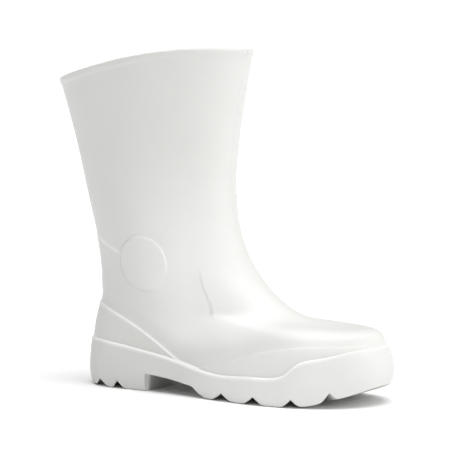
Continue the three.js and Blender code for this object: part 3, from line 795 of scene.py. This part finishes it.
def upper_points():
    """The upper's closed wall, the row at which its inside starts, and the tones of its points.

    The wall is its outside with all steps, a half-round rim, and its plain inside.
    """
    rises, lengths, whole = skin_rises()
    turns = np.broadcast_to(skin_turns, rises.shape)
    base = surface(rises, turns)
    out = normal(rises, turns)
    cuff = CUFF_STEP * step_up(lengths - (whole - CUFF_HEIGHT), CUFF_EDGE)
    offset = relief(base, turns) + cuff + flash(rises, turns, base[..., 2]) + swells(rises, turns)
    outside = base + out * offset[..., None]
    top = surface(1.0, skin_turns)
    top_out = normal(1.0, skin_turns)
    top_up = top - surface(NEAR_TOP, skin_turns)
    top_up /= np.linalg.norm(top_up, axis=-1, keepdims=True)
    edge_offset = offset[-1] - CUFF_STEP
    angles = np.linspace(0, math.pi, RIM_STEPS + 1)[1:-1]
    centre = (CUFF_STEP - WALL) / 2
    rim = []
    for angle in angles:
        stand = centre + RIM_RADIUS * math.cos(angle) + edge_offset * max(0, math.cos(angle))
        rim.append(top + top_out * stand[:, None] + top_up * (RIM_RADIUS * (math.sin(angle) - 1)))
    inner_rise = np.linspace(INNER_TOP, 0, INNER_ROWS)[:, None]
    inside = surface(inner_rise, skin_turns) - WALL * normal(inner_rise, skin_turns)
    tone = np.full((len(outside) + len(rim) + len(inside), len(skin_turns)), 0.5)
    tone[:len(outside)] = upper_painted_light(base, turns)
    return np.concatenate([outside, rim, inside]), len(outside) + len(rim), tone


def ring_faces(rows, columns, close_rows=True, close_columns=True):
    """Quads of a grid, closed round either way as asked."""
    row = np.arange(rows if close_rows else rows - 1)[:, None]
    column = np.arange(columns if close_columns else columns - 1)[None, :]
    next_row = (row + 1) % rows
    next_column = (column + 1) % columns
    corners = [row * columns + column, row * columns + next_column,
               next_row * columns + next_column, next_row * columns + column]
    return np.stack(np.broadcast_arrays(*corners), axis=-1).reshape(-1, 4)


def welded(points, faces):
    """Which points stay when those that coincide are made one, and the quads and triangles left."""
    keys = np.round(points, 4)
    _, first, where = np.unique(keys, axis=0, return_index=True, return_inverse=True)
    quads = where.reshape(-1)[faces]
    same = quads == np.roll(quads, -1, axis=1)
    crossed = (quads[:, 0] == quads[:, 2]) | (quads[:, 1] == quads[:, 3])
    whole = ~same.any(axis=1) & ~crossed
    half = (same.sum(axis=1) == 1) & ~crossed
    triangles = quads[half]
    drop = np.argmax(same[half], axis=1)
    keep = np.ones(triangles.shape, bool)
    keep[np.arange(len(triangles)), drop] = False
    return first, quads[whole], triangles[keep].reshape(-1, 3)


def volume(points, faces):
    """Six times the volume inside the faces, by fans of triangles. It is negative if they face in."""
    total = 0
    for i in range(1, faces.shape[1] - 1):
        a, b, c = (points[faces[:, k]] for k in (0, i, i + 1))
        total += np.einsum("ij,ij->i", a, np.cross(b, c)).sum()
    return total


def make_piece(name, points, tone, quads, triangles=None, sharp=None):
    """A mesh object from arrays, with a tone for each point, its faces turned out, and smooth but
    for edges over an angle."""
    if triangles is None:
        triangles = np.empty((0, 3), int)
    size = volume(points, quads)
    if len(triangles):
        size += volume(points, triangles)
    if size < 0:
        quads = quads[:, ::-1]
        triangles = triangles[:, ::-1]
    mesh = bpy.data.meshes.new(name)
    mesh.vertices.add(len(points))
    mesh.vertices.foreach_set("co", in_frame(points).ravel())
    corners = np.concatenate([quads.ravel(), triangles.ravel()])
    sizes = np.concatenate([np.full(len(quads), 4), np.full(len(triangles), 3)])
    mesh.loops.add(len(corners))
    mesh.loops.foreach_set("vertex_index", corners)
    mesh.polygons.add(len(sizes))
    mesh.polygons.foreach_set("loop_start", np.concatenate([[0], np.cumsum(sizes)[:-1]]))
    mesh.polygons.foreach_set("use_smooth", np.ones(len(sizes), bool))
    mesh.attributes.new("tone", "FLOAT", "POINT").data.foreach_set("value", tone)
    mesh.update(calc_edges=True)
    if sharp:
        mesh.set_sharp_from_angle(angle=math.radians(sharp))
    piece = bpy.data.objects.new(name, mesh)
    bpy.context.scene.collection.objects.link(piece)
    return piece


def outline(turn, offset):
    """The outsole's outline in plan, at a distance outside the upper's ledge line."""
    step = 0.001
    along = surface(LEDGE_KNOT, turn + step) - surface(LEDGE_KNOT, turn - step)
    out = np.stack([-along[..., 1], along[..., 0], np.zeros(along.shape[:-1])], axis=-1)
    out /= np.linalg.norm(out, axis=-1, keepdims=True)
    return surface(LEDGE_KNOT, turn) + out * np.asarray(offset)[..., None]


def sole_half(x, is_outer):
    """The outsole's half width over the middle line at x, on one side."""
    turns = np.linspace(0, math.pi, OUTLINE_SAMPLES)
    edge = outline(turns if is_outer else FULL_TURN - turns, LEDGE_WIDTH)
    half = np.abs(edge[:, 1] - middle(edge[:, 0]))
    return np.interp(x, edge[::-1, 0], half[::-1])


def tread_height(x, y):
    """The sole's underside: the ground face, the arch, and vee grooves that run inward and heelward.

    A groove's height is its depth less the slope times the distance along x from its line, rounded at
    its bottom, and softened at the lugs by a hyperbola. A heel groove is steeper on its heelward side.
    The arch is its side line, and starts behind a rounded corner at the heel's breast.
    """
    ground = ground_height(x)
    reach = np.abs(y - middle(x))
    is_outer = y < middle(x)
    half = np.where(is_outer, sole_half(x, True), sole_half(x, False))
    edge = np.clip((BREAST_CORNER - (half - reach)) / BREAST_CORNER, 0, 1)
    breast = HEEL_LENGTH - BREAST_CORNER * (1 - np.sqrt(1 - edge ** 2))
    stretch = (HEEL_LENGTH + ARCH_LENGTH - x) / (HEEL_LENGTH + ARCH_LENGTH - breast)
    height = BREAST_HEIGHT * np.interp(1 - stretch, ARCH["along"], ARCH["up"], left=0, right=0)
    for stations, width in ((FORE_GROOVES, FORE_GROOVE_WIDTH), (HEEL_GROOVES, HEEL_GROOVE_WIDTH)):
        for station in stations:
            end = np.where(is_outer, sole_half(station, True), sole_half(station, False))
            line = station - (end - reach)
            lean = np.where(x < line, width / FORE_GROOVE_WIDTH, 1)
            across = np.sqrt(((x - line) / lean) ** 2 + LUG_ROUNDING ** 2) - LUG_ROUNDING
            groove = GROOVE_DEPTH * (1 - across / (width / 2))
            groove = (groove + np.sqrt(groove ** 2 + LUG_SOFTNESS ** 2)) / 2 - LUG_DROP
            height = np.maximum(height, np.where(groove > LEAST_GROOVE, groove, 0))
    return ground + height


# Columns along the outsole, and its rows across the bottom, up the wall and round the ground edge
SOLE_COLUMNS = 420
BOTTOM_ROWS = 84
WALL_ROWS = 14
EDGE_ANGLES = np.radians([90, 67.5, 45, 22.5])

# Tones of the outsole, and how far in from its sides they reach, as shares of its width: painted shade
# over the tread and its ground edge, painted highlights on the bead and the ledge, and painted light on
# the heel breast's corner. Rows under the side's limit take the forefoot's painted light.
GROUND_EDGE_SHADE = 0.45
TREAD_PAINTED_SHADE = 0.1
TREAD_REACH = 0.16
FORE_REACH = 0.1
BEAD_HIGHLIGHT = 0.9
LEDGE_HIGHLIGHT = 1.0
LEDGE_FADE = 0.7
SIDE_LIMIT = 0.8
CORNER_PAINTED_LIGHT = 0.45
CORNER_REACH = 0.1
CORNER_RUN = 0.06


def sole_side(turn):
    """One side of the outsole, from its ground edge up to the shoulder, rows by columns.

    The wall stands out by the spline of SIDE over the share of its height, and starts where the tread
    ends at the outline, with a quarter-round edge.
    """
    x = outline(turn, np.full(turn.shape, LEDGE_WIDTH))[:, 0]
    foot = LEDGE_WIDTH + TOE_BUMPER * toe_share(x)
    rim = ledge_width(x)
    bead_step = BEAD_STEP * (1 - toe_share(x))
    lip = LAYER_STEP + BAND_STEP + GAP + LIP
    side_share = (rim - lip) / (LEDGE_WIDTH - lip)
    shoulder = SHOULDER_RISE + (SIDE_SHOULDER_RISE - SHOULDER_RISE) * side_share
    ground = ground_height(x)
    ledge = ledge_height(x)
    low = tread_height(x, outline(turn, foot - WALL_TUCK)[:, 1])
    tuck = spline(SIDE["up"], SIDE["tuck"])
    bulge = spline(SIDE["up"], SIDE["bulge"])
    wall_top = ledge - BEAD_SECTION["below"][0] * BEAD_HEIGHT

    def stand(z):
        share = np.clip((z - ground) / (ledge - ground), 0, 1)
        plain = foot + tuck(share) * WALL_TUCK + bulge(share) * WALL_BULGE
        return plain - (foot - rim) * share ** LEAN_CURVE

    rows = []
    for angle in EDGE_ANGLES:
        z = low + SOLE_EDGE * (1 - math.sin(angle))
        rows.append((stand(low + SOLE_EDGE) - SOLE_EDGE * (1 - math.cos(angle)), z))
    start = low + SOLE_EDGE
    for share in np.linspace(0, 1, WALL_ROWS):
        z = start + (wall_top - start) * share
        rows.append((stand(z), z))
    for out, below in zip(BEAD_SECTION["out"][1:], BEAD_SECTION["below"][1:]):
        z = ledge - below * BEAD_HEIGHT
        rows.append((stand(z) + out * bead_step, z))
    for inward, up in zip(SHOULDER_SECTION["inward"], SHOULDER_SECTION["up"]):
        rows.append((rim * (1 - inward), ledge + up * shoulder))
    points = []
    for offset, z in rows:
        point = outline(turn, offset)
        point[:, 2] = z
        points.append(point)
    seat = surface(0.0, turn)
    seat[:, 2] -= GAP
    points.append(seat)
    return np.stack(points)


def sole_painted_light():
    """The outsole's tones, row by row as its rings run: painted shade on the tread, plain wall, and a
    painted highlight on the ledge that fades towards the toe. The forefoot's side and the corner of the
    heel's breast have painted light."""
    edge_and_wall = np.full(len(EDGE_ANGLES) + WALL_ROWS, 0.5)
    bead = np.linspace(0.5, BEAD_HIGHLIGHT, len(BEAD_SECTION["out"]) - 1)
    shoulder = np.full(len(SHOULDER_SECTION["up"]), LEDGE_HIGHLIGHT)
    side = np.concatenate([edge_and_wall, bead, shoulder, [0.5]])
    share = np.linspace(0, 1, BOTTOM_ROWS)
    depth = np.minimum(share, 1 - share)
    bottom = GROUND_EDGE_SHADE + (TREAD_PAINTED_SHADE - GROUND_EDGE_SHADE) * smooth(depth / TREAD_REACH)
    rows = np.concatenate([side[::-1], bottom, side])[:, None]
    every = np.ones(len(side))
    on_side = np.concatenate([every, smooth(1 - depth / FORE_REACH), every])[:, None]
    corner_rows = ramp(depth, CORNER_REACH, -CORNER_RUN) * (depth > 0)
    on_corner = np.concatenate([0 * every, corner_rows, 0 * every])[:, None]
    turn = np.linspace(0, math.pi, SOLE_COLUMNS + 1)
    x = outline(turn, np.full(turn.shape, LEDGE_WIDTH))[:, 0]
    fade = 1 - LEDGE_FADE * toe_share(x)
    tones = 0.5 + (rows - 0.5) * np.where(rows > 0.5, fade, 1)
    # Painted light on the forefoot's side and on the heel breast's corner
    tones = tones + 0.5 * fore_side_light(x) * on_side * (rows < SIDE_LIMIT)
    corner = bump(x - HEEL_LENGTH + BREAST_CORNER / 2, BREAST_CORNER)
    return np.clip(tones + CORNER_PAINTED_LIGHT * corner * on_corner, 0, 1)


def outsole_points():
    """The outsole as rings round its section, a column for each station from toe to heel."""
    turn = np.linspace(0, math.pi, SOLE_COLUMNS + 1)
    outer = sole_side(turn)
    inner = sole_side(FULL_TURN - turn)
    share = np.linspace(0, 1, BOTTOM_ROWS + 2)[1:-1][:, None]
    start = outer[0]
    end = inner[0]
    x = start[:, 0] + (end[:, 0] - start[:, 0]) * share
    y = start[:, 1] + (end[:, 1] - start[:, 1]) * share
    bottom = np.stack([x, y, tread_height(x, y)], axis=-1)
    return np.concatenate([outer[::-1], bottom, inner])


# The insole's points along its sides, round its edge and across it
INSOLE_COLUMNS = 181
INSOLE_EDGE_ROWS = 9
INSOLE_ACROSS = 22


def insole_points():
    """The insole: a sheet on the seat with a rounded edge, as rings round its section."""
    turn = np.linspace(0, math.pi, INSOLE_COLUMNS)

    def edge(side_turn):
        rows = []
        for angle in np.radians(np.linspace(-90, 90, INSOLE_EDGE_ROWS)):
            inward = INSOLE_CORNER * (1 - math.cos(angle))
            point = surface(0.0, side_turn) + normal(0.0, side_turn) * (-WALL - GAP - inward)
            point[:, 2] += INSOLE_THICKNESS / 2 * (1 + math.sin(angle))
            rows.append(point)
        return np.stack(rows)

    outer = edge(turn)
    inner = edge(FULL_TURN - turn)
    share = np.linspace(0, 1, INSOLE_ACROSS)[1:-1][:, None, None]
    top = outer[-1] + (inner[-1] - outer[-1]) * share
    under = inner[0] + (outer[0] - inner[0]) * share
    return np.concatenate([outer, top, inner[::-1], under])


# Finishes: scales of the noise that makes mottle, gloss, fine peel and waves, and how strong they are
MOTTLE_SCALE = 38
MOTTLE_START = 0.3
MOTTLE_END = 0.7
GLOSS_SCALE = 60
GLOSS_BELOW = 0.05
GLOSS_ABOVE = 0.08
PEEL_SCALE = 420
PEEL_STRENGTH = 0.35
WAVE_SCALE = 70
WAVE_STRENGTH = 0.3
WAVE_HEIGHT = 6
COAT_ROUGHNESS = 0.35

# The knit: its ribs' scale and waver, their bump in metres, and how dark they are between
KNIT_SCALE = 210
KNIT_WAVER = 3.5
KNIT_STRENGTH = 0.6
KNIT_HEIGHT = 0.0005
KNIT_SHADE = 0.8


def new_material(name):
    """A material with only its shader and output, and its node tree."""
    material = bpy.data.materials.new(name)
    material.use_nodes = True
    return material, material.node_tree.nodes, material.node_tree.links


def moulded_rubber(name, colour, roughness, coat, peel_height, dust):
    """White moulded rubber: from painted shade to painted highlight by the piece's tone, with a faint
    mottle, an orange-peel bump at two scales, and patchy gloss."""
    material, nodes, links = new_material(name)
    shader = nodes["Principled BSDF"]
    place = nodes.new("ShaderNodeTexCoord")

    def noise(scale, detail):
        texture = nodes.new("ShaderNodeTexNoise")
        texture.inputs["Scale"].default_value = scale
        texture.inputs["Detail"].default_value = detail
        links.new(place.outputs["Object"], texture.inputs["Vector"])
        return texture.outputs["Fac"]

    # The tone runs from painted shade at 0, through the rubber's own colour at a half, to painted
    # highlight at 1
    tone = nodes.new("ShaderNodeAttribute")
    tone.attribute_name = "tone"
    shade = nodes.new("ShaderNodeValToRGB")
    shade.color_ramp.elements[0].color = PAINTED_SHADE_GREY + (1,)
    shade.color_ramp.elements[1].color = PAINTED_HIGHLIGHT_WHITE + (1,)
    shade.color_ramp.elements.new(0.5).color = colour + (1,)
    links.new(tone.outputs["Fac"], shade.inputs["Fac"])
    mottle = nodes.new("ShaderNodeValToRGB")
    mottle.color_ramp.elements[0].position = MOTTLE_START
    mottle.color_ramp.elements[0].color = (1 - dust, 1 - dust, 1 - dust, 1)
    mottle.color_ramp.elements[1].position = MOTTLE_END
    mottle.color_ramp.elements[1].color = (1, 1, 1, 1)
    links.new(noise(MOTTLE_SCALE, 4), mottle.inputs["Fac"])
    mixed = nodes.new("ShaderNodeMix")
    mixed.data_type = "RGBA"
    mixed.blend_type = "MULTIPLY"
    mixed.inputs["Factor"].default_value = 1
    links.new(shade.outputs["Color"], mixed.inputs[6])
    links.new(mottle.outputs["Color"], mixed.inputs[7])
    links.new(mixed.outputs[2], shader.inputs["Base Color"])
    gloss = nodes.new("ShaderNodeMapRange")
    gloss.inputs["To Min"].default_value = roughness - GLOSS_BELOW
    gloss.inputs["To Max"].default_value = roughness + GLOSS_ABOVE
    links.new(noise(GLOSS_SCALE, 3), gloss.inputs["Value"])
    links.new(gloss.outputs["Result"], shader.inputs["Roughness"])
    peel = nodes.new("ShaderNodeBump")
    peel.inputs["Strength"].default_value = PEEL_STRENGTH
    peel.inputs["Distance"].default_value = peel_height
    links.new(noise(PEEL_SCALE, 2), peel.inputs["Height"])
    waves = nodes.new("ShaderNodeBump")
    waves.inputs["Strength"].default_value = WAVE_STRENGTH
    waves.inputs["Distance"].default_value = WAVE_HEIGHT * peel_height
    links.new(noise(WAVE_SCALE, 1), waves.inputs["Height"])
    links.new(peel.outputs["Normal"], waves.inputs["Normal"])
    links.new(waves.outputs["Normal"], shader.inputs["Normal"])
    shader.inputs["Coat Weight"].default_value = coat
    shader.inputs["Coat Roughness"].default_value = COAT_ROUGHNESS
    return material


def knitted_liner(name, colour):
    """Fine knit: wavering level ribs as bump and tint, of a matt off-white thread."""
    material, nodes, links = new_material(name)
    shader = nodes["Principled BSDF"]
    place = nodes.new("ShaderNodeTexCoord")
    ribs = nodes.new("ShaderNodeTexWave")
    ribs.bands_direction = "Z"
    ribs.inputs["Scale"].default_value = KNIT_SCALE
    ribs.inputs["Distortion"].default_value = KNIT_WAVER
    ribs.inputs["Detail"].default_value = 2
    links.new(place.outputs["Object"], ribs.inputs["Vector"])
    tint = nodes.new("ShaderNodeValToRGB")
    tint.color_ramp.elements[0].color = tuple(c * KNIT_SHADE for c in colour) + (1,)
    tint.color_ramp.elements[1].color = colour + (1,)
    links.new(ribs.outputs["Fac"], tint.inputs["Fac"])
    links.new(tint.outputs["Color"], shader.inputs["Base Color"])
    knit = nodes.new("ShaderNodeBump")
    knit.inputs["Strength"].default_value = KNIT_STRENGTH
    knit.inputs["Distance"].default_value = KNIT_HEIGHT
    links.new(ribs.outputs["Fac"], knit.inputs["Height"])
    links.new(knit.outputs["Normal"], shader.inputs["Normal"])
    shader.inputs["Roughness"].default_value = 0.9
    shader.inputs["Sheen Weight"].default_value = 0.2
    return material


# Colours, and the materials made of them
UPPER_WHITE = (0.668, 0.671, 0.65)
SOLE_WHITE = (0.672, 0.675, 0.655)
# The painted highlight's white and the painted shade's grey, which the tone blends into the rubber's
# colour
PAINTED_HIGHLIGHT_WHITE = (0.88, 0.88, 0.866)
PAINTED_SHADE_GREY = (0.38, 0.38, 0.36)
LINER_WHITE = (0.75, 0.74, 0.7)
upper_rubber = moulded_rubber(
    "upper_rubber_white", UPPER_WHITE, roughness=0.5, coat=0.1, peel_height=0.00006, dust=0.02)
sole_rubber = moulded_rubber(
    "sole_rubber_white", SOLE_WHITE, roughness=0.55, coat=0.05, peel_height=0.00008, dust=0.04)
liner = knitted_liner("liner_knit", LINER_WHITE)

# The pieces. Edges of outsole and insole over these angles, in degrees, stay sharp.
SOLE_SHARP = 38
INSOLE_SHARP = 60

points, inner_start, tone = upper_points()
faces = ring_faces(points.shape[0], points.shape[1])
upper = make_piece("upper_skin", points.reshape(-1, 3), tone.ravel(), faces)
upper.data.materials.append(upper_rubber)
upper.data.materials.append(liner)
inside_faces = np.zeros(len(upper.data.polygons), int)
inside_faces[(inner_start + 1) * SKIN_COLUMNS:(points.shape[0] - 1) * SKIN_COLUMNS] = 1
upper.data.polygons.foreach_set("material_index", inside_faces)


def folded_piece(name, grid, tone, sharp):
    """A piece from a grid whose end columns fold flat, closed round its rows."""
    points = grid.reshape(-1, 3)
    kept, quads, triangles = welded(points, ring_faces(grid.shape[0], grid.shape[1], True, False))
    return make_piece(name, points[kept], tone.ravel()[kept], quads, triangles, sharp)


sole = folded_piece("outsole_skin", outsole_points(), sole_painted_light(), SOLE_SHARP)
sole.data.materials.append(sole_rubber)
sheet = insole_points()
insole = folded_piece("insole_sheet", sheet, np.full(sheet.shape[:2], 0.5), INSOLE_SHARP)
insole.data.materials.append(liner)

for piece, node, slot in (
    (upper, "upper", "upper_rubber"),
    (sole, "outsole", "sole_rubber"),
    (insole, "insole", "liner_fabric"),
):
    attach(piece, "root")
    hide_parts(node)

# Camera: placed as the photograph's, back from a point in the boot, and turned to its middle
CAMERA_AZIMUTH = math.radians(32)
CAMERA_ELEVATION = math.radians(4.1)
CAMERA_DISTANCE = 1.7
CAMERA_BASE = Vector((0.03963, -0.00041, 0.149))
CAMERA_TARGET = Vector((0.0170, -0.0146, 0.149))
FOCAL_LENGTH = 154.9
SENSOR_WIDTH = 36

away = Vector((
    math.sin(CAMERA_AZIMUTH) * math.cos(CAMERA_ELEVATION),
    -math.cos(CAMERA_AZIMUTH) * math.cos(CAMERA_ELEVATION),
    math.sin(CAMERA_ELEVATION),
))
camera_data = bpy.data.cameras.new("camera")
camera_data.lens = FOCAL_LENGTH
camera_data.sensor_width = SENSOR_WIDTH
camera_data.clip_end = 50
camera = bpy.data.objects.new("camera", camera_data)
camera.location = CAMERA_BASE + away * CAMERA_DISTANCE
camera.rotation_euler = (CAMERA_TARGET - camera.location).to_track_quat("-Z", "Y").to_euler()
bpy.context.scene.collection.objects.link(camera)
bpy.context.scene.camera = camera

# Floor: a square, by half its side in metres
FLOOR = 60
FLOOR_WHITE = (0.98, 0.98, 0.98)
floor_corners = [(-FLOOR, -FLOOR, 0), (FLOOR, -FLOOR, 0), (FLOOR, FLOOR, 0), (-FLOOR, FLOOR, 0)]
floor_mesh = bpy.data.meshes.new("floor")
floor_mesh.from_pydata(floor_corners, [], [(0, 1, 2, 3)])
floor = bpy.data.objects.new("floor", floor_mesh)
bpy.context.scene.collection.objects.link(floor)
floor_material, floor_nodes, _ = new_material("floor_white")
floor_shader = floor_nodes["Principled BSDF"]
floor_shader.inputs["Base Color"].default_value = FLOOR_WHITE + (1,)
floor_shader.inputs["Roughness"].default_value = 0.9
floor_shader.inputs["Specular IOR Level"].default_value = 0.1
floor_mesh.materials.append(floor_material)

# Light: the heights, in degrees, between which the dome's ring fades out and its top fades in
RING_FADE = (3.5, 6)
OVERHEAD_FADE = (45, 62)


def studio_dome(ring, low, overhead):
    """A pale dome, by the height of the direction: a white ring round the horizon, dim over it, and
    a broad soft light overhead."""
    world = bpy.data.worlds.new("studio")
    bpy.context.scene.world = world
    world.use_nodes = True
    nodes = world.node_tree.nodes
    links = world.node_tree.links
    place = nodes.new("ShaderNodeTexCoord")
    split = nodes.new("ShaderNodeSeparateXYZ")
    links.new(place.outputs["Generated"], split.inputs["Vector"])

    def level(start, end, first, last):
        change = nodes.new("ShaderNodeMapRange")
        change.interpolation_type = "SMOOTHSTEP"
        change.inputs["From Min"].default_value = math.sin(math.radians(start))
        change.inputs["From Max"].default_value = math.sin(math.radians(end))
        change.inputs["To Min"].default_value = first
        change.inputs["To Max"].default_value = last
        links.new(split.outputs["Z"], change.inputs["Value"])
        return change.outputs["Result"]

    both = nodes.new("ShaderNodeMath")
    both.operation = "ADD"
    links.new(level(*RING_FADE, ring, low), both.inputs[0])
    links.new(level(*OVERHEAD_FADE, 0, overhead), both.inputs[1])
    nodes["Background"].inputs["Color"].default_value = (1, 1, 1, 1)
    links.new(both.outputs["Value"], nodes["Background"].inputs["Strength"])


def sun_light(name, toward, energy, angle):
    """A soft distant light, from a direction."""
    data = bpy.data.lights.new(name, "SUN")
    data.energy = energy
    data.angle = math.radians(angle)
    light = bpy.data.objects.new(name, data)
    light.rotation_euler = (-Vector(toward)).to_track_quat("-Z", "Y").to_euler()
    bpy.context.scene.collection.objects.link(light)


studio_dome(ring=1.04, low=0.21, overhead=1.3)
sun_light("side", toward=(0.513, 0.085, 0.12), energy=1.84, angle=75)
sun_light("key", toward=(0.1, -0.065, 0.5), energy=1.42, angle=45)

bpy.context.scene.view_settings.view_transform = "Standard"
